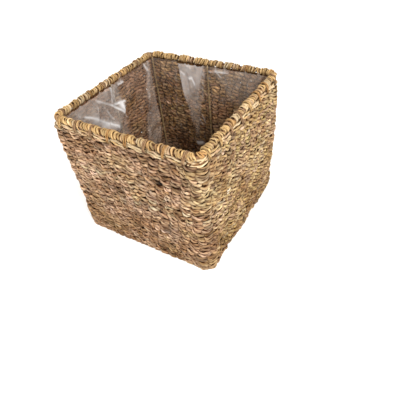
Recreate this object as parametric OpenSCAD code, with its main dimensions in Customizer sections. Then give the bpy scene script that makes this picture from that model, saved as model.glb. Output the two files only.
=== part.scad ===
// Square twined seagrass storage basket on a painted wire frame, with a clear film liner.
// Millimetres, +Z up. Origin: centre of the flat underside. Walls face +X, +Y, -X and -Y.

/* [Overall size] */
// Width over the rim, the same both ways
rim_w = 250; // [200:1:320]
// Height from the resting face to the top of the rim
basket_h = 220; // [180:1:260]
// How far the rim stands proud of the wall
rim_overhang = 0.5; // [0:0.1:3]

/* [Weave] */
// Thickness of one seagrass strand
strand_t = 3.2; // [2.5:0.1:4.5]
// Diameter of the upright stakes that the strands twine round
stake_d = 2.6; // [2:0.1:3.5]
// Stakes on the straight run of one wall
stakes_per_wall = 14; // [10:2:20]
// Outer radius of the wall's upright corners
wall_corner_r = 20; // [16:0.5:30]
// Gap between one row and the next
row_gap = 0.4; // [0.2:0.1:1]
// Height of the border row under the rim
border_h = 8; // [6:0.5:12]

/* [Base] */
// Thickness of the woven base
base_t = 7; // [5:0.5:10]

/* [Wire frame] */
// Diameter of the frame's steel wire
wire_d = 3; // [2.4:0.1:4]

/* [Rim] */
// Diameter of the wrapped rim roll
rim_d = 13.2; // [11:0.1:16]
// Diameter of the cord wrapped round the roll
wrap_d = 2.8; // [2:0.1:3.5]
// Corner radius of the rim roll's centre line
rim_corner_r = 11; // [9:0.5:16]
// Lashings along one side of the rim
lashings_per_side = 8; // [6:2:8]
// Distance between lashings
lashing_pitch = 29.3; // [24:0.1:30]
// Width of one lashing along the rim
lashing_w = 4; // [3:0.5:5]
// Thickness of one lashing
lashing_t = 1.9; // [1.5:0.1:2.5]

/* [Film liner] */
// Thickness of the clear film, thicker than the real one so that it stays a solid
film_t = 0.4; // [0.2:0.1:0.6]
// Corner radius of the film bag
film_corner_r = 9; // [9:0.5:12]

/* [Hidden] */
$fn = 48;
clear = 0.1; // gap between pieces that rest against each other
ROWS = 33;
FRONT = 3;
RIGHT = 0;
BACK = 1;
LEFT = 2;

// wall, from outside to inside: outer strand, stakes, inner strand, frame wire, film
wall_hw = rim_w / 2 - rim_overhang;
stake_slot = stake_d + 2 * clear;
outer_line = wall_hw - strand_t / 2;
stake_line = wall_hw - strand_t - stake_slot / 2;
inner_line = wall_hw - strand_t * 1.5 - stake_slot;
inner_face = inner_line - strand_t / 2;
wire_line = inner_face - clear - wire_d / 2;
film_hw = wire_line - wire_d / 2 - 3 * clear;

// heights
rim_z = basket_h - rim_d / 2;
weave_z0 = 0.3;
border_top = rim_z - rim_d / 2 - 0.5;
row_pitch = (border_top - border_h - weave_z0) / ROWS;
row_h = row_pitch - row_gap;
ring_z = base_t + clear + wire_d / 2;
post_bend_z = border_top + 0.9;

// rim
rim_line = rim_w / 2 - rim_d / 2;
core_r = rim_d / 2 - wrap_d;
wire_corner_r = wall_corner_r - (wall_hw - wire_line);
corner_post_xy = wire_line - wire_corner_r * (1 - cos(45));
rim_corner_xy = rim_line - rim_corner_r * (1 - cos(45));
turn_pitch = wrap_d - 0.2;
bay_turns = 4;
bay_gap = 3.5; // in the middle of each bay, wide enough for a post
bay_cluster_y = bay_gap / 2 + ((bay_turns - 1) * turn_pitch + wrap_d) / 2;
corner_turn_angles = [14, 76];
corner_stake_angles = [21, 69];

// colours
GRASS = [0.66, 0.54, 0.39];
GRASS_GOLD = [0.72, 0.59, 0.40];
GRASS_PALE = [0.86, 0.79, 0.66];
GRASS_DARK = [0.50, 0.39, 0.27];
WIRE = [0.33, 0.28, 0.20];
FILM = [0.85, 0.86, 0.87, 0.35];

// Closed loop round Z with round corners: sweeps its 2-D child (X outwards, Y up) along a centre
// line of half width hw and corner radius r.
module square_loop(hw, r) {
    run = 2 * (hw - r);
    for (q = [0:3])
        rotate(90 * q) {
            translate([hw, hw - r, 0])
                rotate([90, 0, 0])
                    linear_extrude(run)
                        children();
            translate([hw - r, hw - r, 0])
                rotate_extrude(angle = 90)
                    translate([r, 0])
                        children();
        }
}

// Section of a strand squeezed between its neighbours: flat sides, round top and bottom
module strand_section(h, t) {
    square([t, h - t], center = true);
    for (s = [-1, 1])
        translate([0, s * (h - t) / 2])
            circle(d = t);
}

// One row of the wall: a strand outside the stakes and a strand inside them
module strand_pair(h) {
    for (line = [outer_line, inner_line])
        square_loop(line, wall_corner_r - (wall_hw - line))
            strand_section(h, strand_t);
}

module rounded_plate(hw, r, t) {
    linear_extrude(t) {
        square([2 * hw, 2 * (hw - r)], center = true);
        square([2 * (hw - r), 2 * hw], center = true);
        for (x = [-1, 1], y = [-1, 1])
            translate([x * (hw - r), y * (hw - r)])
                circle(r = r);
    }
}

// Round bar from point a to point b
module bar(a, b, d) {
    v = b - a;
    flat = norm([v[0], v[1]]);
    translate(a)
        rotate([0, atan2(flat, v[2]), atan2(v[1], v[0])])
            cylinder(h = norm(v), d = d);
}

module top_ring_path(d) {
    translate([0, 0, rim_z])
        square_loop(rim_line, rim_corner_r)
            circle(d = d);
}

module base_ring_path(d) {
    translate([0, 0, ring_z])
        square_loop(wire_line, wire_corner_r)
            circle(d = d);
}

// Upright wire: straight up the inside of the wall, then bent out into the rim roll. It stands on
// the base ring and ends against the top ring, where it is welded.
module post_path(low_xy, top_xy, d) {
    z0 = ring_z + wire_d / 2;
    bend = [low_xy[0], low_xy[1], post_bend_z];
    top = [top_xy[0], top_xy[1], rim_z];
    reach = 1 - wire_d / 2 / norm(top - bend);
    translate([low_xy[0], low_xy[1], z0])
        cylinder(h = post_bend_z - z0, d = d);
    translate(bend)
        sphere(d = d + 0.3);
    bar(bend, bend + reach * (top - bend), d);
}

module side_post_path(side, d) {
    rotate(90 * side)
        post_path([wire_line, 0], [rim_line, 0], d);
}

module corner_post_path(corner, d) {
    rotate(90 * corner)
        post_path([corner_post_xy, corner_post_xy], [rim_corner_xy, rim_corner_xy], d);
}

module woven_base() {
    hw = inner_face - clear;
    color(GRASS_DARK)
        rounded_plate(hw, wall_corner_r - (wall_hw - hw), base_t);
}

module weft_row(i) {
    color(i % 2 == 0 ? GRASS : GRASS_GOLD)
        translate([0, 0, weave_z0 + (i - 1) * row_pitch + row_h / 2])
            strand_pair(row_h);
}

module border_row() {
    color(GRASS_PALE)
        translate([0, 0, border_top - border_h / 2])
            strand_pair(border_h);
}

// The stakes of one wall and of the corner at its left end, seen from outside
module wall_stakes(side) {
    z0 = weave_z0 + 0.7;
    z1 = border_top + 0.2;
    r = wall_corner_r - (wall_hw - stake_line);
    step = 2 * (stake_line - r) / stakes_per_wall;
    color(GRASS_DARK)
        rotate(90 * side) {
            for (k = [0:stakes_per_wall - 1])
                translate([stake_line, (k - (stakes_per_wall - 1) / 2) * step, z0])
                    cylinder(h = z1 - z0, d = stake_d);
            for (a = corner_stake_angles)
                translate([stake_line - r + r * cos(a), stake_line - r + r * sin(a), z0])
                    cylinder(h = z1 - z0, d = stake_d);
        }
}

module frame_base_ring() {
    color(WIRE)
        base_ring_path(wire_d);
}

module frame_top_ring() {
    color(WIRE)
        top_ring_path(wire_d);
}

module side_post(side) {
    color(WIRE)
        side_post_path(side, wire_d);
}

module corner_post(corner) {
    color(WIRE)
        corner_post_path(corner, wire_d);
}

// Grass bundle rolled round the top ring, open where the posts come up through it
module rim_core() {
    color(GRASS)
        difference() {
            translate([0, 0, rim_z])
                square_loop(rim_line, rim_corner_r)
                    circle(r = core_r);
            top_ring_path(wire_d + 2 * clear);
            for (q = [0:3]) {
                side_post_path(q, wire_d + 2 * clear);
                corner_post_path(q, wire_d + 2 * clear);
            }
        }
}

// n turns of cord side by side round the roll, which runs along Y here
module turn_cluster(n) {
    r = core_r + clear / 2 + wrap_d / 2;
    rotate([90, 0, 0])
        rotate_extrude()
            difference() {
                for (k = [0:n - 1])
                    translate([r, (k - (n - 1) / 2) * turn_pitch])
                        circle(d = wrap_d, $fn = 24);
                translate([0, -n * wrap_d])
                    square([core_r + clear / 2, 2 * n * wrap_d]);
            }
}

// Wrapping of one side and of the corner at its left end, seen from outside
module rim_wrap(side) {
    half = lashings_per_side / 2;
    mid = rim_line - rim_corner_r;
    color(GRASS_GOLD)
        rotate(90 * side)
            translate([0, 0, rim_z]) {
                for (bay = [1 - half:half - 1], s = [-1, 1])
                    translate([rim_line, bay * lashing_pitch + s * bay_cluster_y, 0])
                        turn_cluster(bay_turns);
                for (a = corner_turn_angles)
                    translate([mid, mid, 0])
                        rotate(a)
                            translate([rim_corner_r, 0, 0])
                                turn_cluster(1);
            }
}

// A strap over the roll and down both faces of the border row, its ends pushed into the weave
module lashing() {
    low = border_top - border_h + 0.6;
    in_hw = wall_hw - inner_face + 2 * clear;
    mid = (wall_hw + inner_face) / 2;
    roll_r = rim_d / 2;
    rotate([90, 0, 0])
        linear_extrude(lashing_w, center = true)
            difference() {
                union() {
                    translate([rim_line, rim_z])
                        circle(r = roll_r);
                    translate([mid - in_hw / 2 - lashing_t, low])
                        square([in_hw / 2 + lashing_t, rim_z - roll_r / 2 - low]);
                    polygon([
                        [mid, low],
                        [mid + in_hw / 2 + lashing_t, low],
                        [mid + in_hw / 2 + lashing_t, border_top],
                        [rim_line + roll_r, rim_z],
                        [mid, rim_z],
                    ]);
                }
                translate([rim_line, rim_z])
                    circle(r = core_r + clear / 2);
                translate([mid - in_hw / 2, low - 1])
                    square([in_hw, border_top + clear - low + 1]);
                translate([mid - in_hw / 2 + lashing_t, border_top - 1])
                    square([in_hw - 2 * lashing_t, rim_z - core_r - border_top + 2]);
            }
}

module rim_lashings(side) {
    color(GRASS_GOLD)
        rotate(90 * side)
            for (k = [0:lashings_per_side - 1])
                translate([0, (k - (lashings_per_side - 1) / 2) * lashing_pitch, 0])
                    lashing();
}

// Open bag of clear film, its lip turned out under the rim roll
module film_liner() {
    z0 = base_t + 2 * clear;
    lip_z = post_bend_z - 0.5;
    lip = 1.3;
    color(FILM)
        difference() {
            union() {
                translate([0, 0, z0])
                    rounded_plate(film_hw, film_corner_r, lip_z - z0);
                translate([0, 0, lip_z - film_t])
                    rounded_plate(film_hw + lip, film_corner_r + lip, film_t);
            }
            translate([0, 0, z0 + film_t])
                rounded_plate(film_hw - film_t, film_corner_r - film_t, basket_h);
            for (q = [0:3]) {
                side_post_path(q, wire_d + 2 * clear);
                corner_post_path(q, wire_d + 2 * clear);
            }
        }
}

woven_base();
weft_row(1);  // weft_row_01
weft_row(2);  // weft_row_02
weft_row(3);  // weft_row_03
weft_row(4);  // weft_row_04
weft_row(5);  // weft_row_05
weft_row(6);  // weft_row_06
weft_row(7);  // weft_row_07
weft_row(8);  // weft_row_08
weft_row(9);  // weft_row_09
weft_row(10);  // weft_row_10
weft_row(11);  // weft_row_11
weft_row(12);  // weft_row_12
weft_row(13);  // weft_row_13
weft_row(14);  // weft_row_14
weft_row(15);  // weft_row_15
weft_row(16);  // weft_row_16
weft_row(17);  // weft_row_17
weft_row(18);  // weft_row_18
weft_row(19);  // weft_row_19
weft_row(20);  // weft_row_20
weft_row(21);  // weft_row_21
weft_row(22);  // weft_row_22
weft_row(23);  // weft_row_23
weft_row(24);  // weft_row_24
weft_row(25);  // weft_row_25
weft_row(26);  // weft_row_26
weft_row(27);  // weft_row_27
weft_row(28);  // weft_row_28
weft_row(29);  // weft_row_29
weft_row(30);  // weft_row_30
weft_row(31);  // weft_row_31
weft_row(32);  // weft_row_32
weft_row(33);  // weft_row_33
border_row();
wall_stakes(RIGHT);  // wall_stakes_right
wall_stakes(BACK);  // wall_stakes_back
wall_stakes(LEFT);  // wall_stakes_left
wall_stakes(FRONT);  // wall_stakes_front
frame_base_ring();
frame_top_ring();
side_post(RIGHT);  // frame_post_right
side_post(BACK);  // frame_post_back
side_post(LEFT);  // frame_post_left
side_post(FRONT);  // frame_post_front
corner_post(0);  // frame_post_back_right
corner_post(1);  // frame_post_back_left
corner_post(2);  // frame_post_front_left
corner_post(3);  // frame_post_front_right
rim_core();
rim_wrap(RIGHT);  // rim_wrap_right
rim_wrap(BACK);  // rim_wrap_back
rim_wrap(LEFT);  // rim_wrap_left
rim_wrap(FRONT);  // rim_wrap_front
rim_lashings(RIGHT);  // rim_lashings_right
rim_lashings(BACK);  // rim_lashings_back
rim_lashings(LEFT);  // rim_lashings_left
rim_lashings(FRONT);  // rim_lashings_front
film_liner();
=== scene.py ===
"""Square twined seagrass storage basket on a painted wire frame, with a clear film liner.

Lengths are in millimetres where no other unit is named, and turn into metres on their way to Blender.
A place on the basket is given by s, the distance along a square loop that starts at the -Y end of the
+X wall, and by its height z."""
import math

import bpy
import numpy as np
from mathutils import Matrix, Vector


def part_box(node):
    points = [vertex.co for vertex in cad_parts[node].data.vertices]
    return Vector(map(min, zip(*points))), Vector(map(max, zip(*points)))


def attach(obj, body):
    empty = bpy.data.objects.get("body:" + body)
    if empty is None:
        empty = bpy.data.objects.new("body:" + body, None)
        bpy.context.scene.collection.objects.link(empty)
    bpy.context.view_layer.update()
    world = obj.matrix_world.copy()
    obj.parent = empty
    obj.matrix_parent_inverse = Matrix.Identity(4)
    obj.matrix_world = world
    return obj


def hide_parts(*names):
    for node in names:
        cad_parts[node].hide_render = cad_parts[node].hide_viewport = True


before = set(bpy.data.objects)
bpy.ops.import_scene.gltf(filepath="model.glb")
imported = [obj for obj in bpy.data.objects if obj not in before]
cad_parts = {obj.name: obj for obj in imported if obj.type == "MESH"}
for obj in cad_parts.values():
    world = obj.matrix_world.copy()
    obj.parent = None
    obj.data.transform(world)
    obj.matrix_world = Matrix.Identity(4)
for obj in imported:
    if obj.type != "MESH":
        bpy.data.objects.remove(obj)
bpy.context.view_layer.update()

MM = 0.001
SIDES = ("right", "back", "left", "front")
BACK, LEFT, FRONT = 1, 2, 3  # a wall's place in SIDES
ROWS = sum(name.startswith("weft_row_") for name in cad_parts)


# ---------------------------------------------------------------- camera
CAM_AT = np.array([311.5, -404.4, 472.2])
CAM_TO = np.array([33.9, 0.0, 13.6])
CAM_ROLL = math.radians(-6.37)
CAM_LENS = 33.43
CAM_SENSOR = 36.0


def add_camera():
    data = bpy.data.cameras.new("camera")
    data.sensor_width = CAM_SENSOR
    data.lens = CAM_LENS
    cam = bpy.data.objects.new("camera", data)
    ahead = Vector(CAM_TO - CAM_AT).normalized()
    look = ahead.to_track_quat("-Z", "Y").to_matrix().to_4x4()
    place = Matrix.Translation(Vector(CAM_AT * MM))
    cam.matrix_world = place @ look @ Matrix.Rotation(CAM_ROLL, 4, "Z")
    bpy.context.scene.collection.objects.link(cam)
    bpy.context.scene.camera = cam


add_camera()


# ---------------------------------------------------------------- sizes, from the CAD nodes
def span(node):
    """A CAD node's box: (low, high)."""
    lo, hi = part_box(node)
    return np.array(lo) / MM, np.array(hi) / MM


stake_lo, stake_hi = span("wall_stakes_right")
border_lo, border_hi = span("border_row")
rim_lo, rim_hi = span("rim_wrap_right")
core_lo, core_hi = span("rim_core")
lash_lo, lash_hi = span("rim_lashings_right")
base_lo, base_hi = span("woven_base")
_, row_hi = span("weft_row_01")
_, film_hi = span("film_liner")
_, ring_hi = span("frame_base_ring")

STAKE_D = 2.6  # thickness of a CAD stake
WALL_HW = row_hi[0]  # half width over the walls
WALL_R = 20.0  # radius of their corners
STAKE_HW = stake_hi[0] - STAKE_D / 2  # half width of the line the stakes stand on
STAKE_R = WALL_R - (WALL_HW - STAKE_HW)
STAKES_PER_WALL = 14
CORNER_STAKES = (21.0, 69.0)  # degrees round the corner
RIM_R = (rim_hi[2] - rim_lo[2]) / 2
RIM_Z = (rim_hi[2] + rim_lo[2]) / 2
RIM_HW = rim_hi[0] - RIM_R  # half width of the line the middle of the roll runs along
RIM_CORNER = 11.0  # radius of that line's corners
CORE_R = (core_hi[2] - core_lo[2]) / 2
ROLL_R = 0.86 * RIM_R  # the photo's roll is slimmer than the CAD's
ROLL_Z = rim_hi[2] - 1.04 * ROLL_R  # and its top is as high
LASHINGS = 8  # on each side
LASH_PITCH = 29.3
FILM_INSET = 3.3  # the base ring's wire, and a small gap
FILM_HW = ring_hi[0] - FILM_INSET
FILM_CORNER = 12.0


# ---------------------------------------------------------------- paths
class Loop:
    """A square loop with round corners, by distance s along it. It starts at the -Y end of the +X
    wall's straight run and goes on past the +Y, -X and -Y walls."""

    def __init__(self, hw, r):
        self.hw = hw
        self.r = r
        self.run = 2 * (hw - r)
        self.quarter = self.run + math.pi / 2 * r
        self.length = 4 * self.quarter

    def at(self, s):
        """Points (..., 2) and outward normals (..., 2)."""
        s = np.mod(np.asarray(s, float), self.length)
        q = np.floor(s / self.quarter).astype(int) % 4
        t = s - q * self.quarter
        bend = np.clip((t - self.run) / self.r, 0, math.pi / 2)
        straight = np.minimum(t, self.run) - self.run / 2
        c = self.hw - self.r
        x = np.where(t < self.run, self.hw, c + self.r * np.cos(bend))
        y = np.where(t < self.run, straight, c + self.r * np.sin(bend))
        ca, sa = np.cos(q * math.pi / 2), np.sin(q * math.pi / 2)
        nx, ny = np.cos(bend), np.sin(bend)
        return (
            np.stack([x * ca - y * sa, x * sa + y * ca], -1),
            np.stack([nx * ca - ny * sa, nx * sa + ny * ca], -1),
        )

    def middle(self, q, y):
        """Distance along the loop of a point y along wall q, measured from the wall's middle."""
        return q * self.quarter + self.run / 2 + y

    def corner_share(self, s):
        """0 on the walls and 1 in the middle of a corner."""
        t = np.mod(np.asarray(s, float), self.quarter)
        return np.sin(np.clip((t - self.run) / (self.quarter - self.run), 0, 1) * math.pi)


STAKE_LOOP = Loop(STAKE_HW, STAKE_R)
STAKE_STEP = STAKE_LOOP.run / STAKES_PER_WALL
RIM_LOOP = Loop(RIM_HW, RIM_CORNER)
FILM_LOOP = Loop(FILM_HW, FILM_CORNER)


def stake_places():
    """Distance along the stake line of each stake, in order."""
    one = [STAKE_STEP * (k + 0.5) for k in range(STAKES_PER_WALL)]
    one += [STAKE_LOOP.run + math.radians(a) * STAKE_R for a in CORNER_STAKES]
    return np.concatenate([np.array(one) + q * STAKE_LOOP.quarter for q in range(4)])


STAKE_S = stake_places()
STAKES = len(STAKE_S)


def s_of_count(t):
    """Distance along the stake line for a stake count t, whole at each stake."""
    ring = np.concatenate([STAKE_S - STAKE_LOOP.length, STAKE_S, STAKE_S + STAKE_LOOP.length])
    return np.interp(np.mod(t, STAKES), np.arange(-STAKES, 2 * STAKES), ring)


def unit(vectors):
    return vectors / np.linalg.norm(vectors, axis=1)[:, None]


def level(normal):
    """Level directions (n, 2) as (n, 3)."""
    return np.column_stack([normal, np.zeros(len(normal))])


def sideways(normal):
    """The directions along the wall, for its outward normals (n, 2)."""
    return np.column_stack([-normal[:, 1], normal[:, 0], np.zeros(len(normal))])


def upward(n):
    return np.tile([0.0, 0.0, 1.0], (n, 1))


def level_frame(path):
    """Across and up vectors for an open path, with across level."""
    ahead = unit(np.gradient(path, axis=0))
    across = unit(np.cross(ahead, [0.0, 0.0, 1.0]))
    return across, np.cross(across, ahead)


# ---------------------------------------------------------------- noise
def step_up(x, a, b):
    """0 below a, 1 above b, smooth between."""
    t = np.clip((x - a) / (b - a), 0, 1)
    return t * t * (3 - 2 * t)


def ripple(rng, n, cells):
    """Smooth noise of n samples that closes on itself, with one bump to each of its cells."""
    knots = rng.normal(size=cells)
    x = np.arange(n) * cells / n
    i = np.floor(x).astype(int)
    f = step_up(x - i, 0, 1)
    return knots[i % cells] * (1 - f) + knots[(i + 1) % cells] * f


def field(s, z, seed, waves=8, longest=250.0, shortest=60.0):
    """Smooth noise over the walls, by distance s along them and height z."""
    rng = np.random.default_rng(seed)
    out = np.zeros(np.broadcast(s, z).shape)
    for _ in range(waves):
        k = max(1, round(STAKE_LOOP.length / rng.uniform(shortest, longest)))
        kz = 2 * math.pi / rng.uniform(shortest, longest) * rng.choice([-1, 1])
        out = out + np.sin(2 * math.pi * k * s / STAKE_LOOP.length + kz * z + rng.uniform(0, 6.3))
    return out / math.sqrt(waves / 2)


# ---------------------------------------------------------------- colours
def linear(*srgb):
    c = np.array(srgb, float) / 255
    return np.where(c <= 0.04045, c / 12.92, ((c + 0.055) / 1.055) ** 2.4)


BEIGE = linear(190, 159, 126)
PINK_BEIGE = linear(187, 152, 121)
STRAW = linear(188, 159, 113)
OLIVE = linear(176, 150, 100)
TAN = linear(166, 133, 99)
BROWN = linear(140, 107, 78)
CREAM = linear(228, 204, 164)
GOLD = linear(218, 182, 126)
AMBER = linear(192, 148, 94)
PAINTED_SHADE_TINT = np.array([0.16, 0.057, 0.018])  # share of a colour that is left under full painted shade, as deep between two strands
AGEING = (1.0, 1.35, 1.9)  # powers of a shade for red, green, blue: pale grass greyer, dark grass browner


def paint_shade(colour, painted_shade):
    """The colour with warm painted shade in it, full where the share of shade given is 1."""
    return colour * (1 - np.clip(painted_shade, 0, 1)[..., None] * (1 - PAINTED_SHADE_TINT))


def batches(rng, n, cells, palette, weights):
    """Colour along a strand that is made up of lengths of grass, each of one colour."""
    weights = np.array(weights, float)
    pick = rng.choice(len(palette), size=cells, p=weights / weights.sum())
    colour = np.array(palette)[pick] * rng.normal(1, 0.07, size=(cells, 1))
    edge = np.sort(rng.uniform(0, n, cells))
    c = colour[np.searchsorted(edge, np.arange(n)) % cells]
    return (np.roll(c, 1, 0) + c + np.roll(c, -1, 0)) / 3


# ---------------------------------------------------------------- meshes
class Part:
    """A swept piece of mesh: n rings of m points each, (n, m, 3), with their colours, the distance
    along it in mm, the turn round it from 0 to 1, and for film how hazy it is, painted glints included.
    The last ring joins the first if it is closed. Otherwise both ends are capped, or left open."""

    def __init__(self, points, colour, along, around, closed=False, capped=True, haze_and_glint=0.0):
        shape = points.shape[:2]
        self.points = points
        self.colour = np.broadcast_to(colour, (*shape, 3))
        self.along = np.broadcast_to(along, shape)
        self.around = np.broadcast_to(around, shape)
        self.haze_and_glint = np.broadcast_to(haze_and_glint, shape)
        self.closed = closed
        self.capped = capped

    def quads(self):
        n, m = self.points.shape[:2]
        i = np.arange(n if self.closed else n - 1)[:, None]
        j = np.arange(m)[None, :]
        i2 = (i + 1) % n
        j2 = (j + 1) % m
        sides = np.stack([i * m + j, i * m + j2, i2 * m + j2, i2 * m + j], -1).reshape(-1, 4)
        if self.closed or not self.capped:
            return sides
        cap = np.array([[k, m - 1 - k, m - 2 - k, k + 1] for k in range(m // 2 - 1)])
        return np.concatenate([sides, cap, cap[:, ::-1] + (n - 1) * m])


def build(name, parts, material, hides=()):
    """One object from parts, in place of the CAD nodes in hides."""
    start = np.cumsum([0] + [p.points.shape[0] * p.points.shape[1] for p in parts])
    quads = np.concatenate([p.quads() + k for p, k in zip(parts, start)])
    co = np.concatenate([p.points.reshape(-1, 3) for p in parts]) * MM
    mesh = bpy.data.meshes.new(name)
    mesh.vertices.add(len(co))
    mesh.vertices.foreach_set("co", co.astype(np.float32).ravel())
    mesh.loops.add(quads.size)
    mesh.loops.foreach_set("vertex_index", quads.astype(np.int32).ravel())
    mesh.polygons.add(len(quads))
    mesh.polygons.foreach_set("loop_start", np.arange(0, quads.size, 4, dtype=np.int32))
    mesh.polygons.foreach_set("use_smooth", np.ones(len(quads), bool))
    mesh.update(calc_edges=True)
    tint = np.ones((len(co), 4), np.float32)
    tint[:, :3] = np.clip(np.concatenate([p.colour.reshape(-1, 3) for p in parts]), 0, 1)
    colours = mesh.color_attributes.new("tint", "FLOAT_COLOR", "POINT")
    colours.data.foreach_set("color", tint.ravel())
    for key in ("along", "around", "haze_and_glint"):
        values = np.concatenate([getattr(p, key).ravel() for p in parts]).astype(np.float32)
        mesh.attributes.new(key, "FLOAT", "POINT").data.foreach_set("value", values)
    mesh.materials.append(material)
    obj = bpy.data.objects.new(name, mesh)
    bpy.context.scene.collection.objects.link(obj)
    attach(obj, "root")
    if hides:
        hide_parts(*hides)
    return obj


PLY_ANGLES = np.radians([0, 45, 90, 135, 180, 225, 270, 315])
IN_GROOVE = np.isin(np.arange(8), (2, 6))  # the points between the two plies, which get painted shade
PLY_R = 0.56  # radius of a ply, of the cord's size
PLY_OFFSET = 0.44  # distance of a ply's middle from the cord's, of the cord's size


def cord(path, across, up, twist, size, colours, painted_shade=0.0, closed=False, tall=1.0, back_shade=None,
         pressed=0.0, groove_shade=0.95):
    """Two plies twisted together, of overall radius size (n,), along path (n, 3). across and up
    (n, 3) span its section, tall stretches it along up, and colours are the two plies' (n, 3). Painted
    shade: painted_shade darkens it, and back_shade (n,) darkens its back: the side towards -across for 1,
    +across for -1. pressed keeps it as tall where the plies lie one behind the other as where they lie
    one above the other. groove_shade is how dark the painted shade in the line between the plies is."""
    n = len(path)
    size = np.broadcast_to(size, n)[:, None]
    th = PLY_ANGLES[None, :]
    ply_middle = PLY_OFFSET * np.abs(np.cos(th))
    rad = size * (ply_middle + np.sqrt(PLY_R**2 - (PLY_OFFSET * np.sin(th)) ** 2))
    ang = th + np.broadcast_to(twist, n)[:, None]
    tall = np.broadcast_to(tall, n) * (PLY_R + PLY_OFFSET * np.abs(np.sin(twist))) ** -pressed
    tall = tall[:, None]
    points = (
        path[:, None, :]
        + (rad * np.cos(ang))[..., None] * across[:, None, :]
        + (rad * tall * np.sin(ang))[..., None] * up[:, None, :]
    )
    first = (np.cos(PLY_ANGLES) > 0)[None, :, None]
    colour = np.where(first, colours[0][:, None, :], colours[1][:, None, :])
    # Painted shade: in the groove between the plies, where it is asked for, and on the cord's back
    groove_shades = np.broadcast_to(groove_shade, n)[:, None] * IN_GROOVE
    shade = np.maximum(np.broadcast_to(painted_shade, n)[:, None], groove_shades)
    if back_shade is not None:
        shade = np.maximum(shade, step_up(-np.cos(ang) * back_shade[:, None], -0.4, 0.5))
    steps = np.linalg.norm(np.diff(path, axis=0, append=path[:1]), axis=1)
    along = np.concatenate([[0], np.cumsum(steps[:-1])])[:, None]
    return Part(points, paint_shade(colour, shade), along, th / (2 * math.pi), closed)


# ---------------------------------------------------------------- materials
class Shader:
    """A Principled material whose nodes are added one call at a time."""

    def __init__(self, name):
        self.mat = bpy.data.materials.new(name)
        self.mat.use_nodes = True
        self.tree = self.mat.node_tree
        self.out = self.tree.nodes["Principled BSDF"]

    def add(self, kind, inputs=None, **settings):
        node = self.tree.nodes.new("ShaderNode" + kind)
        for key, value in settings.items():
            setattr(node, key, value)
        for key, value in (inputs or {}).items():
            self.feed(node.inputs[key], value)
        return node

    def feed(self, socket, value):
        if isinstance(value, bpy.types.NodeSocket):
            self.tree.links.new(value, socket)
        else:
            socket.default_value = value

    def set(self, **inputs):
        for key, value in inputs.items():
            self.feed(self.out.inputs[key.replace("_", " ")], value)

    def attribute(self, name, output="Fac"):
        return self.add("Attribute", attribute_name=name).outputs[output]

    def object_place(self):
        return self.add("TexCoord").outputs["Object"]

    def noise(self, where, scale, detail, roughness=0.5):
        inputs = {"Vector": where, "Scale": scale, "Detail": detail, "Roughness": roughness}
        return self.add("TexNoise", inputs).outputs[0]

    def math(self, operation, *values):
        return self.add("Math", dict(enumerate(values)), operation=operation).outputs[0]

    def vector(self, *values):
        return self.add("CombineXYZ", dict(enumerate(values))).outputs[0]

    def remap(self, noise, low, high):
        """Noise, most of which is between 0.3 and 0.7, spread from low to high."""
        inputs = {"Value": noise, "From Min": 0.3, "From Max": 0.7, "To Min": low, "To Max": high}
        return self.add("MapRange", inputs).outputs[0]

    def bump(self, height, strength, distance):
        inputs = {"Strength": strength, "Distance": distance, "Height": height}
        return self.add("Bump", inputs).outputs[0]


def grass_material(name, rough, streak, bump=0.4):
    """Dry grass: the strand's own colour, split into fibres along it, with blotches of age."""
    sh = Shader(name)
    along = sh.math("MULTIPLY", sh.attribute("along"), 0.14)
    around = sh.math("MULTIPLY", sh.attribute("around"), 11.0)
    fibre = sh.noise(sh.vector(along, around), 1.7, 4.0, 0.65)
    blotch = sh.noise(sh.object_place(), 160.0, 3.0)
    shade = sh.math("MULTIPLY", sh.remap(fibre, 1 - streak, 1 + streak), sh.remap(blotch, 0.84, 1.12))
    aged = sh.vector(*[sh.math("POWER", shade, power) for power in AGEING])
    tint = sh.attribute("tint", "Color")
    colour = sh.add("VectorMath", {0: tint, 1: aged}, operation="MULTIPLY").outputs[0]
    sh.set(Base_Color=colour, Roughness=rough, Normal=sh.bump(fibre, bump, 0.0006))
    sh.set(Specular_IOR_Level=0.16)
    return sh.mat


def wire_material():
    """Brown paint on steel wire, brushed on unevenly."""
    sh = Shader("brown_wire")
    grain = sh.noise(sh.object_place(), 380.0, 4.0)
    ramp = sh.add("ValToRGB", {"Fac": grain})
    thin, thick = ramp.color_ramp.elements
    thin.position = 0.34
    thin.color = (*linear(110, 88, 56), 1)
    thick.position = 0.68
    thick.color = (*linear(164, 136, 94), 1)
    sh.set(Base_Color=ramp.outputs[0], Roughness=0.45, Normal=sh.bump(grain, 0.2, 0.0003))
    return sh.mat


def film_material():
    """Thin clear film: seen only where it is creased, folded or hazy, and where glints and reflections
    are painted on it.
    """
    sh = Shader("clear_film")
    crinkle = sh.noise(sh.object_place(), 90.0, 3.0)
    haze_and_glint = sh.math("MULTIPLY", sh.attribute("haze_and_glint"), sh.remap(crinkle, 0.88, 1.12))
    sh.set(Base_Color=sh.attribute("tint", "Color"), Alpha=haze_and_glint, Roughness=0.14)
    sh.set(Normal=sh.bump(crinkle, 0.12, 0.002), Specular_IOR_Level=0.5)
    return sh.mat


GRASS = grass_material("seagrass_weave", rough=0.62, streak=0.36, bump=0.5)
GRASS_GOLD = grass_material("seagrass_gold", rough=0.56, streak=0.36, bump=0.6)
GRASS_PALE = grass_material("seagrass_pale", rough=0.6, streak=0.2)
GRASS_DARK = grass_material("seagrass_dark", rough=0.82, streak=0.3)
WIRE = wire_material()
FILM = film_material()

for node_name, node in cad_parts.items():
    if node_name.startswith("frame_"):
        node.data.materials.clear()
        node.data.materials.append(WIRE)


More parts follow.
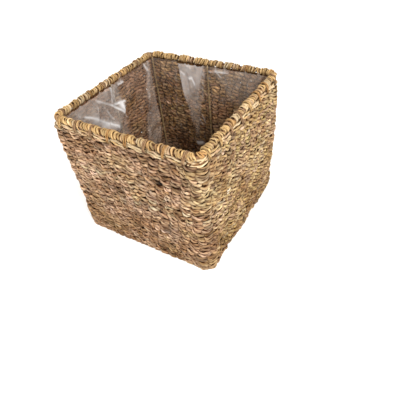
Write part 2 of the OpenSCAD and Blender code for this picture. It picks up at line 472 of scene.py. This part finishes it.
# ---------------------------------------------------------------- the woven walls
SAMPLES = 14  # points along a strand between one stake and the next
OUT_REACH = 3.1  # how far a strand's middle swings out from the stake line
IN_REACH = 2.8  # and how far in
RISE = 0.5  # how far above and below the middle of its row a strand climbs
OUTSIDE = math.radians(97)  # half of the part of its turn that a strand spends outside
STITCH_DRIFT = 0.16  # how far a row's stitches wander along it, in stakes
STRAND_R = 2.3  # radius of a strand, out from the wall
TALL_OPEN = 1.5  # how much taller than deep a strand is, between two stakes
TALL_PINCHED = 0.92  # and over a stake
LAY = 24.0  # length of one turn of the two plies of a strand
INDOOR_SHADE = np.array([0.80, 0.67, 0.59])  # share of a colour that is left on the inside of the wall, as warm painted shade
WALL_TONE = 0.82  # brings the grass to the brightness of the photo's
LOW_SHADE = 0.21  # how much darker the lowest rows are
CORNER_DRAW = 3.2  # how far the corners stand out near the top
TOP = border_hi[2]
FOOT_R = 9.0  # radius of the edge between the walls and the floor
WALL_T = np.arange(STAKES * SAMPLES) / SAMPLES  # the samples of a row, as a count of stakes
WALL_S = s_of_count(WALL_T)  # and by distance along the stake line


def wall_bow(s, z):
    """How far a place on the wall stands out from its plane: hand-woven waves, corners drawn sharper
    towards the top, and a round foot."""
    foot = FOOT_R - np.sqrt(np.maximum(FOOT_R**2 - np.maximum(FOOT_R - z, 0) ** 2, 0))
    corner = CORNER_DRAW * STAKE_LOOP.corner_share(s) * step_up(z, 0.3 * TOP, 0.85 * TOP)
    waves = 0.9 * field(s, z, 11) + 0.35 * field(s, z, 13, shortest=18, longest=50)
    return 0.7 + waves + corner - 0.55 * foot


def lean(s, z):
    """How far the stakes and their stitches have wandered along the wall."""
    return 1.7 * field(s, z, 41, shortest=30, longest=110)


def golden_share(s):
    """1 on the two golden walls (+X and +Y), 0 on the pinker ones, blended round the corners."""
    turn = (s - STAKE_LOOP.run / 2 - STAKE_LOOP.quarter / 2) / STAKE_LOOP.length * 2 * math.pi
    return np.clip(0.5 + 1.8 * np.cos(turn), 0, 1)


# Colours of the grass and the share of each
GOLDEN_MIX = (
    (STRAW, 6),
    (STRAW * 0.86, 4),
    (OLIVE, 2),
    (BEIGE, 2),
    (TAN, 1),
    (CREAM * 0.74, 0.4),
)
PINK_MIX = (
    (PINK_BEIGE, 6),
    (PINK_BEIGE * 0.86, 4),
    (BEIGE, 3),
    (TAN, 2),
    (BROWN, 0.6),
    (CREAM * 0.74, 0.4),
)
BATCHES_IN_ROW = 11


def wall_colour(rng, s, z):
    """Colour along a strand of the wall, (n, 3)."""
    n = len(s)
    golden = batches(rng, n, BATCHES_IN_ROW, *zip(*GOLDEN_MIX))
    pink = batches(rng, n, BATCHES_IN_ROW, *zip(*PINK_MIX))
    share = np.clip(golden_share(s) + 0.3 * field(s, z, 22, shortest=50), 0, 1)[:, None]
    tone = 1 + 0.07 * field(s, z, 21, shortest=35, longest=150) + 0.13 * ripple(rng, n, STAKES)
    low = LOW_SHADE * (1 - step_up(z, 10, 120))
    return WALL_TONE * (golden * share + pink * (1 - share)) * (tone - low)[:, None] ** AGEING


def swing_of(turn):
    """Where a strand is in its turn round its partner: 1 at its outermost and -1 at its innermost."""
    edge = math.cos(OUTSIDE)
    place = np.cos(turn)
    return (place - edge) / np.where(place > edge, 1 - edge, 1 + edge)


def twined_strand(z0, phase, rng):
    """One of the two strands of a row. They turn round each other, and take every second stake each
    in front. A strand climbs while it is outside and drops back inside."""
    n = len(WALL_T)
    drift = STITCH_DRIFT * ripple(np.random.default_rng(round(z0 * 10)), n, STAKES)
    turn = math.pi * (WALL_T + phase + drift)
    swing = swing_of(turn)
    outside = swing > 0

    shaped = np.sign(swing) * np.abs(swing) ** np.where(outside, 0.5, 0.35)
    reach = np.where(outside, OUT_REACH, IN_REACH)
    out = reach * shaped * (1 + 0.15 * ripple(rng, n, STAKES)) + wall_bow(WALL_S, z0)
    z = z0 + RISE * np.sin(turn) * (1 + 0.12 * ripple(rng, n, STAKES))
    z = z + 0.28 * ripple(rng, n, STAKES) + rng.normal(0, 0.2)
    z = z + 1.1 * field(WALL_S, z0, 12, shortest=40, longest=170)

    turns = round(STAKE_LOOP.length / LAY)
    twist = -2 * math.pi * turns * WALL_S / STAKE_LOOP.length
    twist = twist + 0.9 * ripple(rng, n, 40) + rng.uniform(0, 6)
    thick = STRAND_R * (1 + 0.08 * ripple(rng, n, 40)) * (0.93 + 0.07 * np.abs(swing))
    pinch = np.where(outside, np.cos(turn) ** 6 * (1 + 0.4 * ripple(rng, n, STAKES)), 0)
    tall = TALL_OPEN - (TALL_OPEN - TALL_PINCHED) * pinch

    xy, normal = STAKE_LOOP.at(WALL_S + lean(WALL_S, z0))
    above_floor = np.maximum(z, thick * tall + 0.1)
    path = np.column_stack([xy + normal * out[:, None], above_floor])
    # Painted shade on the inner side of the wall, deeper in the lower rows
    indoor_shade = INDOOR_SHADE * (0.85 + 0.15 * step_up(z0, 60, 160))
    base = wall_colour(rng, WALL_S, z0) * np.where(swing[:, None] < 0, indoor_shade, 1.0)
    ply_a = base * (1 + 0.2 * ripple(rng, n, 90))[:, None]
    ply_b = base * (1 + 0.26 * ripple(rng, n, 70))[:, None]
    # Painted shade where a strand dives in at a crossing, on its side that faces into the weave, and in
    # its grooves
    return cord(
        path, level(normal), upward(n), twist, thick, (ply_a, ply_b),
        painted_shade=0.6 * (1 - step_up(swing, 0.03, 0.3)) * outside,
        closed=True,
        tall=tall,
        back_shade=np.clip(3 * swing, -0.45, 1),
        pressed=0.85,
        groove_shade=np.where(outside, 0.95, 0.5),
    )


for i in range(1, ROWS + 1):
    cad_name = f"weft_row_{i:02d}"
    low, high = span(cad_name)
    middle = (low[2] + high[2]) / 2
    strands = [twined_strand(middle, k, np.random.default_rng(100 + 2 * i + k)) for k in (0, 1)]
    build(f"twined_row_{i:02d}", strands, GRASS, [cad_name])


# ---------------------------------------------------------------- stakes
STALK_R = 1.35
STALK_GAP = 1.5  # from a stake's middle to each of its two stalks


def stalk(rng, s):
    """One of the two stalks of a stake."""
    z = np.linspace(stake_lo[2], stake_hi[2], 36)
    xy, normal = STAKE_LOOP.at(s + lean(s, z))
    path = np.column_stack([xy + normal * wall_bow(s, z)[:, None], z])
    colour = np.tile(TAN * rng.uniform(0.6, 1.0), (len(z), 1))
    twist = z / 12 + rng.uniform(0, 6)
    plies = (colour, colour * 0.85)
    # The stakes get painted shade all over, as they stand in the shade behind the strands
    return cord(path, level(normal), sideways(normal), twist, STALK_R, plies, painted_shade=0.75, tall=1.3)


for q, side_name in enumerate(SIDES):
    rng = np.random.default_rng(500 + q)
    places = STAKE_S[q * STAKES // 4 : (q + 1) * STAKES // 4]
    stalks = [stalk(rng, s + k) for s in places for k in (-STALK_GAP, STALK_GAP)]
    build(f"stakes_{side_name}", stalks, GRASS_DARK, [f"wall_stakes_{side_name}"])


# ---------------------------------------------------------------- the floor
FLOOR_HW = base_hi[0] - 1.5
FLOOR_CORNER = 9.0
FLOOR_Z = (base_lo[2] + base_hi[2]) / 2
FLOOR_ROWS = 43
FLOOR_STALK_R = 1.8
FLOOR_STRAND_R = 1.95


def floor_half_width(y):
    """Half of the floor's width at a distance y from its middle, cut to its rounded outline."""
    over = max(abs(y) - (FLOOR_HW - FLOOR_CORNER), 0)
    return FLOOR_HW - FLOOR_CORNER + math.sqrt(max(FLOOR_CORNER**2 - over**2, 0))


def floor_stalk(rng, x):
    """A stalk that crosses the floor along Y."""
    n = 40
    half = floor_half_width(x)
    y = np.linspace(-half, half, n)
    path = np.column_stack([x + ripple(rng, n, 8), y, np.full(n, FLOOR_Z)])
    across, up = level_frame(path)
    tone = np.tile(BROWN * rng.uniform(0.7, 1.0), (n, 1))
    # Painted shade all along the stalk
    return cord(path, across * 2.4, up, y / 12, FLOOR_STALK_R, (tone, tone * 0.85), painted_shade=0.4)


def floor_strand(rng, y, phase):
    """One of the two strands of a row that twines round the floor's stalks."""
    half = floor_half_width(y)
    x = np.arange(-half, half, 2.6)
    turn = math.pi * (x / STAKE_STEP + phase)
    swing = np.cos(turn)
    z = FLOOR_Z + 1.3 * np.sign(swing) * np.abs(swing) ** 0.7
    path = np.column_stack([x, y + 1.0 * np.sin(turn) + 0.4 * ripple(rng, len(x), 12), z])
    across, up = level_frame(path)
    colour = batches(rng, len(x), 4, [TAN, BEIGE, BROWN, STRAW], [3, 3, 2, 1])
    # Painted shade where the strand dives between the stalks
    painted_shade = 0.7 * (1 - step_up(np.abs(swing), 0.2, 0.8))
    return cord(path, across * 1.6, up, x / 5, FLOOR_STRAND_R, (colour, colour * 0.9), painted_shade)


def floor_parts():
    """Stalks across the floor, and the rows that twine round them."""
    rng = np.random.default_rng(900)
    stalks = STAKES_PER_WALL // 2
    parts = [floor_stalk(rng, k * STAKE_STEP) for k in range(-stalks, stalks + 1)]
    for k in range(FLOOR_ROWS):
        y = (k - (FLOOR_ROWS - 1) / 2) * 2 * (FLOOR_HW - 2) / (FLOOR_ROWS - 1)
        parts += [floor_strand(rng, y, phase) for phase in (0, 1)]
    return parts


build("woven_floor", floor_parts(), GRASS_DARK, ["woven_base"])


# ---------------------------------------------------------------- the border under the rim
BORDER_H = border_hi[2] - border_lo[2]
# The strands of a bay, one above the other: height, as a share of the way up to the roll, and radius
BAY_STRANDS = (1.0, 2.0), (0.68, 1.9)
CORNER_STRANDS = (1.05, 1.8), (0.8, 1.8), (0.5, 1.9)
BORDER_TONES = [CREAM, CREAM * 0.86, BEIGE * 1.15, STRAW * 1.15]
BORDER_ODDS = [4, 3, 2, 2]
RING_R = 2.3


def beside_rim(s):
    """Distance along the rim's line of the place nearest to s along the stake line."""
    q = np.floor(s / STAKE_LOOP.quarter)
    shift = (RIM_LOOP.run - STAKE_LOOP.run) / 2
    ends = [0, STAKE_LOOP.run, STAKE_LOOP.quarter]
    there = np.array([shift, shift + STAKE_LOOP.run, RIM_LOOP.quarter + shift])
    return q * RIM_LOOP.quarter + np.interp(s - q * STAKE_LOOP.quarter, ends, there)


def lashing_places():
    """(wall, distance from its middle) of each lashing, in order round the rim."""
    mid = (LASHINGS - 1) / 2
    return [(q, (k - mid) * LASH_PITCH) for q in range(4) for k in range(LASHINGS)]


def border_strand(rng, a, b, lift, size, corner):
    """A pale strand that slants down from a lashing at a to just past the next one at b."""
    n = int((b - a) / 1.2)
    u = np.linspace(0, 1, n)
    start = a + rng.uniform(-1.5, 2.0)
    end = b + rng.uniform(0.5, 4.5)
    s = start + (end - start) * u
    fall = 0.16 if corner else 0.42
    rise = lift + 0.10 - fall * u - 0.05 * np.sin(math.pi * u) + rng.normal(0, 0.03)
    z = border_lo[2] + (ROLL_Z - 0.72 * ROLL_R - border_lo[2]) * rise

    at_rim, rim_normal = RIM_LOOP.at(beside_rim(s))
    at_wall, wall_normal = STAKE_LOOP.at(s)
    at_rim = at_rim + rim_normal * 0.62 * ROLL_R
    at_wall = at_wall + wall_normal * (OUT_REACH + 0.4 + wall_bow(s, z))[:, None]
    z = z + 0.45 * ripple(rng, n, 5)
    share = step_up(rise, 0.0, 1.0)[:, None]
    normal = rim_normal * share + wall_normal * (1 - share)
    bulge = -0.8 if corner else 0.8
    push = bulge * np.sin(math.pi * u) ** 0.7 - 1.8 * step_up(u, 0.84, 1.0)
    path = np.column_stack([at_rim * share + at_wall * (1 - share) + normal * push[:, None], z])

    taper = size * (0.3 + 0.7 * step_up(u, 0, 0.16)) * (1 - 0.3 * step_up(u, 0.8, 1))
    tone = batches(rng, n, 3, BORDER_TONES, BORDER_ODDS)
    # Painted shade at the end that tucks in under the next lashing, on the strand's back and in its
    # grooves
    return cord(
        path, level(normal), upward(n), s / 4.5 + rng.uniform(0, 6), taper, (tone, tone * 0.9),
        painted_shade=0.6 * step_up(u, 0.84, 1),
        back_shade=np.full(n, 0.5),
        groove_shade=0.35,
    )


def inner_ring(rng, lift):
    """A cord right round the basket, behind the border's strands, dulled with painted shade."""
    n = len(WALL_S)
    z = np.full(n, border_lo[2] + BORDER_H * lift)
    xy, normal = STAKE_LOOP.at(WALL_S)
    path = np.column_stack([xy + normal * (0.8 * wall_bow(WALL_S, z) - 0.5)[:, None], z])
    tone = wall_colour(rng, WALL_S, z) * INDOOR_SHADE
    twist = 2 * math.pi * 60 * WALL_S / STAKE_LOOP.length
    plies = (tone, tone * 0.9)
    return cord(path, level(normal), upward(n), twist, RING_R, plies, painted_shade=0.25, closed=True)


def border_parts():
    """Pale strands from each lashing to the next, and behind them a twined row and two rings."""
    rng = np.random.default_rng(700)
    places = [STAKE_LOOP.middle(q, y) for q, y in lashing_places()]
    places.append(places[0] + STAKE_LOOP.length)
    parts = []
    for a, b in zip(places[:-1], places[1:]):
        corner = b - a < 0.98 * LASH_PITCH
        for lift, size in CORNER_STRANDS if corner else BAY_STRANDS:
            parts.append(border_strand(rng, a, b, lift, size, corner))
    low_row = border_lo[2] + 0.36 * BORDER_H
    parts += [twined_strand(low_row, k, np.random.default_rng(710 + k)) for k in (0, 1)]
    parts += [inner_ring(rng, lift) for lift in (0.75, 1.0)]
    return parts


build("border_strands", border_parts(), GRASS_PALE, ["border_row"])


# ---------------------------------------------------------------- the rim
RIM_TONES = [GOLD, GOLD * 0.8, GOLD * 0.9, BEIGE, CREAM * 0.9, AMBER, TAN]
RIM_ODDS = np.array([5, 3, 3, 2, 2.6, 2.4, 1.6])
TURN_POINTS = 20  # points round one turn of the cord
TURN_LEAN = -1.6  # how far the top of a turn is shifted along the rim


def rim_tone(rng):
    """A colour drawn for a turn of the rim's cord."""
    return RIM_TONES[rng.choice(len(RIM_TONES), p=RIM_ODDS / RIM_ODDS.sum())]


def turn_of_cord(rng, s, radius, size, lean_by, colour):
    """One turn round the roll at s along it. lean_by shifts its top along the rim."""
    ang = np.linspace(0, 2 * math.pi, TURN_POINTS, endpoint=False)
    xy, normal = RIM_LOOP.at(s + lean_by * np.sin(ang) - 0.4 * lean_by * np.cos(ang))
    wobble = 1 + 0.08 * ripple(rng, TURN_POINTS, 5)
    out = radius * wobble * np.cos(ang)
    z = ROLL_Z + radius * wobble * np.sin(ang)
    path = np.column_stack([xy + normal * out[:, None], z])
    across = np.column_stack([normal * np.cos(ang)[:, None], np.sin(ang)])
    ahead = unit(np.roll(path, -1, 0) - np.roll(path, 1, 0))
    up = unit(np.cross(ahead, across))
    tone = colour[None, :] * (1 + 0.12 * ripple(rng, TURN_POINTS, 6))[:, None]
    twist = rng.choice([0, 1, 1, 2]) * ang + rng.uniform(0, 6)
    # Painted shade on the lower half of each turn, on one side of the cord and in its grooves
    return cord(
        path, across, up, twist, size, (tone, tone * rng.uniform(0.8, 1.0)),
        painted_shade=0.7 * step_up(-np.sin(ang), 0.1, 0.8),
        closed=True,
        tall=1.25,
        back_shade=np.full(TURN_POINTS, 0.45),
        groove_shade=0.3,
    )


def lump_of_turns(rng, a, b, corner):
    """The turns between a and b along the rim, drawn together into one lump."""
    count = 4 if corner else rng.choice([3, 3, 3, 4])
    lead = rim_tone(rng)
    bulge = rng.uniform(0.2, 1.3)
    squeeze = rng.uniform(0.72, 0.9)
    parts = []
    for k in range(count):
        u = (k + 0.5) / count
        s = a + (b - a) * (0.5 + squeeze * (u - 0.5)) + rng.normal(0, 0.12)
        radius = ROLL_R - 1.7 + bulge * (math.sin(math.pi * u) - 0.4) + rng.normal(0, 0.35)
        size = (b - a) * squeeze / count * (0.50 if corner else 0.43) * rng.uniform(0.85, 1.15)
        mix = rng.uniform(0.2, 1.0)
        colour = (lead * mix + rim_tone(rng) * (1 - mix)) * rng.uniform(0.74, 1.16)
        lean_by = TURN_LEAN + rng.normal(0, 0.8)
        parts.append(turn_of_cord(rng, s, radius, size, lean_by, colour))
    return parts


def rim_turns(q):
    """The turns of one side and of the corner at its +90 degree end."""
    rng = np.random.default_rng(800 + q)
    gap = LASH_PITCH / 2
    knots = [RIM_LOOP.middle(q, (k - LASHINGS + 1) * gap) for k in range(2 * LASHINGS - 1)]
    corner_end = RIM_LOOP.middle(q + 1, -(LASHINGS - 1) * gap)
    knots += [knots[-1] + (corner_end - knots[-1]) * f for f in (0.5, 1.0)]
    parts = []
    for a, b in zip(knots[:-1], knots[1:]):
        parts += lump_of_turns(rng, a, b, corner=b - a < 0.97 * gap)
    return parts


LASH_LOW = lash_lo[2] + 4.5  # where the outer leg of a lashing goes into the weave
LASH_OUT = lash_hi[0] - 1.1 - RIM_HW  # how far that leg is from the rim's line
LASH_SIZE = 1.12
LASH_POINTS = 46


def lashing_route():
    """The way of a lashing from its outer leg over the roll and in under it: distance along the cord,
    distance out from the rim's line, and height."""
    roll = ROLL_R - 0.3
    outer_leg = [(-2.6, -0.4), (-0.2, 1.2), (0.0, 4.0), (0.0, 8.0)]
    keys = [(LASH_OUT + out, LASH_LOW + up) for out, up in outer_leg]
    for a in np.radians(np.arange(10, 171, 20)):
        keys.append((roll * math.cos(a), ROLL_Z + roll * math.sin(a)))
    keys += [(-roll * 0.9, ROLL_Z - 2.5), (-roll * 0.5, ROLL_Z - 5)]
    keys = np.array(keys)
    walk = np.concatenate([[0], np.cumsum(np.linalg.norm(np.diff(keys, axis=0), axis=1))])
    t = np.linspace(0, walk[-1], LASH_POINTS)
    return t, np.interp(t, walk, keys[:, 0]), np.interp(t, walk, keys[:, 1])


def lashing_cords(q, y, rng):
    """Two turns side by side that tie the roll down over the border."""
    t, out, z = lashing_route()
    length = t[-1]
    end = np.minimum(t, length - t)
    parts = []
    colour = [GOLD * 0.9, GOLD * 0.75, TAN, AMBER * 0.9][rng.integers(4)]
    for k in (-1, 1):
        s = RIM_LOOP.middle(q, y) + k * 1.15 + 3.0 * (t / length - 0.4) + rng.normal(0, 0.25)
        xy, normal = RIM_LOOP.at(s)
        bow = wall_bow(STAKE_LOOP.middle(q, y), z) * step_up(-z, -ROLL_Z, -ROLL_Z + 6)
        path = np.column_stack([xy + normal * (out + bow * (out > 0))[:, None], z])
        tangent = sideways(normal)
        across = unit(np.cross(unit(np.gradient(path, axis=0)), tangent))
        # Painted shade on the leg as it goes down below the border, and towards both ends of the cord
        shade_below_border = 1 - 0.6 * step_up(-z, -border_hi[2] - 4, -LASH_LOW)
        tone = colour * rng.uniform(0.85, 1.1) * shade_below_border[:, None]
        size = LASH_SIZE * (0.45 + 0.55 * step_up(end, 0, 5)) * rng.uniform(0.9, 1.12)
        painted_shade = 0.6 * (1 - step_up(end, 0, 6))
        twist = t / 3.2 + rng.uniform(0, 6)
        parts.append(cord(path, across, tangent, twist, size, (tone, tone * 0.88), painted_shade))
    return parts


for q, side_name in enumerate(SIDES):
    turns = rim_turns(q)
    build(f"rim_turns_{side_name}", turns, GRASS_GOLD, [f"rim_wrap_{side_name}"])
    rng = np.random.default_rng(850 + q)
    ties = [c for wall, y in lashing_places() if wall == q for c in lashing_cords(q, y, rng)]
    hidden = [f"rim_lashings_{side_name}"]
    build(f"lashing_cords_{side_name}", ties, GRASS_GOLD, hidden)


def rim_bundle():
    """The roll's own bundle of grass, seen in the gaps between the turns."""
    rng = np.random.default_rng(870)
    n = 420
    s = np.linspace(0, RIM_LOOP.length, n, endpoint=False)
    xy, normal = RIM_LOOP.at(s)
    path = np.column_stack([xy, np.full(n, ROLL_Z)])
    tone = batches(rng, n, 40, [TAN, BROWN, AMBER], [3, 3, 2])
    size = (CORE_R + 0.2) * (1 + 0.05 * ripple(rng, n, 90))
    twist = 0.4 * ripple(rng, n, 60)
    plies = (tone, tone * 0.8)
    # painted shade all along the bundle, which is seen only in the gaps between the turns
    return cord(path, level(normal), upward(n), twist, size, plies, painted_shade=0.45, closed=True)


build("rim_bundle", [rim_bundle()], GRASS_DARK, ["rim_core"])


# ---------------------------------------------------------------- the film bag
FILM_RINGS = 110  # from the middle of the closed foot to the lip
FILM_COUNT = 420  # points round each ring
FOOT_SHARE = 0.2  # the share of the rings that make up the foot
LIP_SHARE = 0.985  # the rings past this share of the way are the lip
TIP_Y = -14.0  # where on the front wall the lip is torn
TIP_WIDTH = 9.0
TIP_HEIGHT = 12.0
FOLD_Z = 100.0  # height at which the second place of a fold's edge is given
FILM_DARK = np.array([0.52, 0.43, 0.37])  # colour of its faint haze
FILM_GLINT = np.array([0.92, 0.91, 0.92])  # and of its creases and folds, where it is a painted glint or reflection
# Broad folds, where the film lies double, with a painted reflection on them: wall, the two edges as (y at
# the lip, y at FOLD_Z), lowest z, softness, haze, lift
FOLDS = (
    (BACK, (3, 34), (57, 45), 120, 1.2, 0.2, 4.0),
    (BACK, (4, 21), (58, 38), 45, 1.8, 0.25, 2.0),
    (BACK, (-108, -108), (-10, -95), 130, 8.0, 0.2, 1.0),
    (LEFT, (-112, -104), (-92, -60), 20, 2.5, 0.30, 4.0),
    (LEFT, (-10, -10), (104, 106), 95, 7.0, 0.30, 3.0),
)
# Creases with painted glints on them: wall, y and z of both ends, half width, haze
GLINT_CREASES = (
    (LEFT, 45, 204, 15, 182, 1.6, 0.35),
    (LEFT, 15, 182, -4, 160, 1.8, 0.6),
    (LEFT, -4, 160, -16, 142, 1.5, 0.45),
    (LEFT, 9, 181, -15, 176, 1.6, 0.85),
    (LEFT, -5, 174, -7, 165, 5.5, 0.85),
    (LEFT, -10, 206, -24, 205, 1.5, 0.9),
    (LEFT, 9, 207, 13, 187, 1.4, 0.5),
    (LEFT, 3, 205, 8, 190, 1.0, 0.4),
    (LEFT, -86, 207, -90, 199, 2.6, 0.6),
    (LEFT, 78, 193, 50, 172, 1.6, 0.5),
    (LEFT, 50, 172, 20, 146, 1.6, 0.4),
    (LEFT, 64, 180, 14, 139, 7.0, 0.3),
    (LEFT, 60, 178, 50, 195, 1.2, 0.3),
    (LEFT, 30, 180, 22, 160, 1.2, 0.3),
    (BACK, 51, 197, 44, 193, 1.6, 0.5),
    (BACK, 35, 188, 28, 190, 2.0, 0.75),
    (BACK, 28, 190, 22, 181, 1.8, 0.7),
    (BACK, 3, 203, 12, 146, 1.3, 0.35),
    (BACK, -5, 203, -42, 206, 1.2, 0.5),
    (BACK, -18, 206, -30, 196, 1.0, 0.35),
    (BACK, 28, 54, 18, 57, 5.5, 1.0),
    (BACK, 14, 118, 8, 104, 1.4, 0.6),
    (BACK, 20, 112, 16, 96, 0.9, 0.45),
    (BACK, 62, 200, 84, 42, 1.0, 0.22),
)


def fold_share(y, z, low_edge, high_edge, bottom, soft):
    """1 inside a broad fold, between its two slanting edges and above its lowest z."""
    down = (film_hi[2] - z) / (film_hi[2] - FOLD_Z)
    a, b = (edge[0] + (edge[1] - edge[0]) * down for edge in (low_edge, high_edge))
    inside = step_up(y, a - soft, a + soft) * (1 - step_up(y, b - soft, b + soft))
    return inside * step_up(z, bottom, bottom + 45)


def crease_share(y, z, y0, z0, y1, z1, width):
    """1 along a crease, falling off to its sides."""
    along = np.array([y1 - y0, z1 - z0])
    t = np.clip(((y - y0) * along[0] + (z - z0) * along[1]) / (along @ along), 0, 1)
    gap = np.hypot(y - y0 - t * along[0], z - z0 - t * along[1])
    return np.exp(-((gap / width) ** 2))


def film_lip(ws, q, y):
    """How far the film's lip stands up: ripples, and torn tips at one place on the front wall."""
    at_tip = (q == FRONT) * np.exp(-(((y - TIP_Y) / TIP_WIDTH) ** 2))
    tips = TIP_HEIGHT * at_tip * np.abs(field(ws, 0 * ws, 37, shortest=5, longest=12))
    return tips + 1.6 * np.maximum(field(ws, 0 * ws, 35, shortest=8, longest=30), 0) ** 1.5


def film_bag():
    """The loose bag: close to the walls near the top, baggy and folded below, closed at the foot."""
    s = np.linspace(0, FILM_LOOP.length, FILM_COUNT, endpoint=False)[None, :]
    v = np.linspace(0, 1, FILM_RINGS)[:, None]
    ws = s * STAKE_LOOP.length / FILM_LOOP.length
    q = np.floor(s / FILM_LOOP.quarter).astype(int)
    y = s - q * FILM_LOOP.quarter - FILM_LOOP.run / 2
    foot_z = base_hi[2] + 0.8
    lip_z = ROLL_Z - 0.8 * ROLL_R
    wall_part = np.clip((v - FOOT_SHARE) / (1 - FOOT_SHARE), 0, 1)
    z = foot_z + wall_part * (lip_z - foot_z)
    shrink = np.clip(v / FOOT_SHARE, 0.001, 1)

    sway = 10 * field(ws, z, 31, shortest=45, longest=160)
    fold = np.abs(field(ws + 0.25 * z, z * 0.35, 32, waves=9, shortest=22, longest=90))
    crease = np.abs(field(ws, z, 33, waves=10, shortest=16, longest=60))
    slack = np.sin(math.pi * np.clip(wall_part, 0, 1)) ** 0.6
    inward = slack * (4.0 + 0.35 * np.maximum(sway, -8) + 2.4 * (1 - np.clip(fold, 0, 1)))
    inward = inward + 0.8 * (1 - np.clip(crease * 2.2, 0, 1)) * (v > FOOT_SHARE)

    haze_and_glint = 0.03 + 0.10 * step_up(z, 120, 205) + 0.2 * (1 - step_up(z, 8, 50))
    haze_and_glint = haze_and_glint + 0.16 * np.exp(-((crease / 0.05) ** 2)) * step_up(z, 30, 150)
    haze_and_glint = haze_and_glint + 0.12 * np.exp(-((fold / 0.05) ** 2))
    patch = 1 + 0.06 * field(ws, z, 34, shortest=14, longest=60)
    ridge = np.zeros((FILM_RINGS, FILM_COUNT))
    for wall, low_edge, high_edge, bottom, soft, strength, lift in FOLDS:
        share = (q == wall) * fold_share(y, z, low_edge, high_edge, bottom, soft)
        haze_and_glint = 1 - (1 - haze_and_glint) * (1 - share * strength * patch)
        ridge += share * lift
    for wall, y0, z0, y1, z1, width, strength in GLINT_CREASES:
        share = (q == wall) * crease_share(y, z, y0, z0, y1, z1, width)
        haze_and_glint = 1 - (1 - haze_and_glint) * (1 - share * strength)
        ridge = np.maximum(ridge, share * 1.5)
    inward = inward + ridge
    haze_and_glint = np.clip(haze_and_glint, 0.02, 0.95)

    scale = np.maximum((FILM_HW - inward) / FILM_HW, 0.02) * shrink
    xy, _ = FILM_LOOP.at(s[0])
    points = np.empty((FILM_RINGS, FILM_COUNT, 3))
    points[..., :2] = xy[None] * scale[..., None]
    in_lip = v > LIP_SHARE
    points[..., 2] = z + in_lip * (1.2 + film_lip(ws, q, y)) + 0.8 * (1 - shrink) * field(ws, 0 * ws, 36)
    # Thick haze goes white: the painted glints and reflections on the creases and folds
    glint_share = step_up(haze_and_glint, 0.25, 0.7)[..., None]
    tint = FILM_DARK * (1 - glint_share) + FILM_GLINT * glint_share
    return Part(points, tint, z, s / FILM_LOOP.length, capped=False, haze_and_glint=haze_and_glint)


film = build("film_bag", [film_bag()], FILM, ["film_liner"])


# ---------------------------------------------------------------- loose fibres
FIBRES = 170
FIBRE_R = 0.32
FIBRE_POINTS = 8


def fibre_at_rim(rng):
    """Height, length and root of a fibre on the roll, the root out from the stake line."""
    z0 = RIM_Z + rng.uniform(-2, 5)
    return z0, rng.uniform(3, 8), RIM_R - 1.0 + RIM_HW - STAKE_HW


def fibre_on_wall(rng, s):
    """The same for a fibre on the wall."""
    z0 = rng.uniform(10, 195)
    return z0, rng.uniform(4, 13), OUT_REACH + 1.2 + wall_bow(s, z0)


def loose_fibre(rng, k):
    """A fine fibre end. Every second one is on the rim, and the others are on the walls."""
    s = rng.uniform(0, STAKE_LOOP.length)
    z0, length, root = fibre_on_wall(rng, s) if k % 2 else fibre_at_rim(rng)
    xy, normal = STAKE_LOOP.at(np.array([s]))
    tangent = np.column_stack([-normal[:, 1], normal[:, 0]])
    u = np.linspace(0, 1, FIBRE_POINTS)
    out = root + length * 0.28 * u * rng.uniform(0.2, 1)
    slide = length * (u * rng.choice([-1, 1]) * 0.9 + 0.12 * np.sin(3 * u))
    z = z0 + length * (rng.uniform(-0.35, 0.35) * u + 0.15 * u * u * rng.choice([-1, 1]))
    path = np.column_stack([xy + normal * out[:, None] + tangent * slide[:, None], z])
    across, up = level_frame(path)
    colour = np.tile([CREAM, STRAW, BEIGE][k % 3] * rng.uniform(0.8, 1.1), (FIBRE_POINTS, 1))
    return cord(path, across, up, u, FIBRE_R * (1 - 0.75 * u), (colour, colour))


fibre_rng = np.random.default_rng(950)
fibres = [loose_fibre(fibre_rng, k) for k in range(FIBRES)]
build("loose_fibres", fibres, GRASS_PALE)


# ---------------------------------------------------------------- stage and light
STAGE_HALF = 12.0  # metres
STAGE_Z = -0.0002  # metres, just under the basket


def add_stage():
    w = STAGE_HALF
    mesh = bpy.data.meshes.new("floor")
    mesh.from_pydata([(-w, -w, 0), (w, -w, 0), (w, w, 0), (-w, w, 0)], [], [(0, 1, 2, 3)])
    floor = bpy.data.objects.new("floor", mesh)
    floor.location.z = STAGE_Z
    bpy.context.scene.collection.objects.link(floor)
    sh = Shader("floor")
    sh.set(Base_Color=(0.94, 0.94, 0.935, 1), Roughness=0.9)
    sh.set(Emission_Color=(1, 1, 1, 1), Emission_Strength=0.23)
    mesh.materials.append(sh.mat)


def add_area(name, at, size, power, colour):
    """A round lamp at a place in metres, aimed at the basket."""
    data = bpy.data.lights.new(name, "AREA")
    data.shape = "DISK"
    data.size = size
    data.energy = power
    data.color = colour
    lamp = bpy.data.objects.new(name, data)
    lamp.location = at
    lamp.rotation_euler = (Vector((0, 0, 0.1)) - Vector(at)).to_track_quat("-Z", "Y").to_euler()
    bpy.context.scene.collection.objects.link(lamp)


def add_world():
    world = bpy.data.worlds.new("world")
    world.use_nodes = True
    background = world.node_tree.nodes["Background"]
    background.inputs["Color"].default_value = (1, 0.965, 0.92, 1)
    background.inputs["Strength"].default_value = 0.85
    bpy.context.scene.world = world


add_stage()
add_area("key", (1.55, -0.75, 1.5), size=0.6, power=38, colour=(1.0, 0.985, 0.96))
add_area("fill", (-0.8, -1.6, 1.3), size=0.6, power=12, colour=(0.98, 0.98, 1.0))
add_world()
bpy.context.scene.view_settings.view_transform = "Standard"
